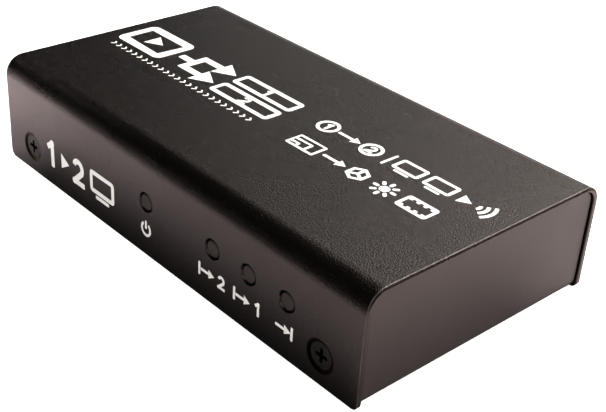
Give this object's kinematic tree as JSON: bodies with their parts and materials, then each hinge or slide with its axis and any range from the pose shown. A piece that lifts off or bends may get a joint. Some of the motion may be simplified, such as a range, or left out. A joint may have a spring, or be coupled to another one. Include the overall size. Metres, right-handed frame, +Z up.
{
  "type": "hdmi splitter",
  "caption": "Small black folded-steel box that copies one video signal to two screens, with status lights in front and its sockets and power jack behind.",
  "frame": {"origin": "middle of the underside", "axes": "+X along the length, to the right seen from the front; the front with the lights faces -Y; +Z up"},
  "size_m": [0.095, 0.0516, 0.02],
  "materials": {
    "black_paint": "satin fine-textured black coating",
    "black_screw": "black oxide",
    "board": "solder mask on glass-fibre sheet",
    "plated_steel": "bright zinc plate",
    "black_moulding": "moulded",
    "tinned_lead": "matt tin",
    "plated_brass": "nickel-plated brass",
    "chip_moulding": "fine matt moulding",
    "pad": "soft",
    "black_aluminium": "black anodised",
    "ferrite": "pressed iron powder",
    "can_aluminium": "drawn",
    "fuse_body": "matt",
    "capacitor_ceramic": "fired ceramic",
    "resistor_body": "glazed",
    "light_lens": "smoke-tinted clear epoxy, unlit",
    "socket_steel": "nickel-plated",
    "gold_contact": "gold flash"
  },
  "bodies": {
    "root": {"base_tray": "black_paint", "board_screws": "plated_steel", "board_standoffs": "plated_steel", "capacitor_bases": "black_moulding", "capacitor_cans": "can_aluminium", "ceramic_capacitors": "capacitor_ceramic", "circuit_board": "board", "clock_crystal": "plated_steel", "controller_chip": "chip_moulding", "controller_chip_leads": "tinned_lead", "front_cover_screws": "black_screw", "heatsink": "black_aluminium", "input_fuse": "fuse_body", "input_light": "light_lens", "input_socket_contacts": "gold_contact", "input_socket_insulator": "black_moulding", "input_socket_shell": "socket_steel", "light_holders": "black_moulding", "light_leads": "tinned_lead", "memory_chip": "chip_moulding", "memory_chip_leads": "tinned_lead", "output_1_light": "light_lens", "output_1_socket_contacts": "gold_contact", "output_1_socket_insulator": "black_moulding", "output_1_socket_shell": "socket_steel", "output_2_light": "light_lens", "output_2_socket_contacts": "gold_contact", "output_2_socket_insulator": "black_moulding", "output_2_socket_shell": "socket_steel", "power_inductors": "ferrite", "power_jack_body": "black_moulding", "power_jack_pin": "plated_brass", "power_jack_spring": "plated_brass", "power_light": "light_lens", "protection_diode": "chip_moulding", "protection_diode_leads": "tinned_lead", "rear_cover_screws": "black_screw", "small_resistors": "resistor_body", "splitter_chip": "chip_moulding", "splitter_chip_leads": "tinned_lead", "surge_arrays": "chip_moulding", "thermal_pad": "pad", "top_cover": "black_paint", "voltage_regulator_leads": "tinned_lead", "voltage_regulators": "chip_moulding"}
  },
  "joints": []
}
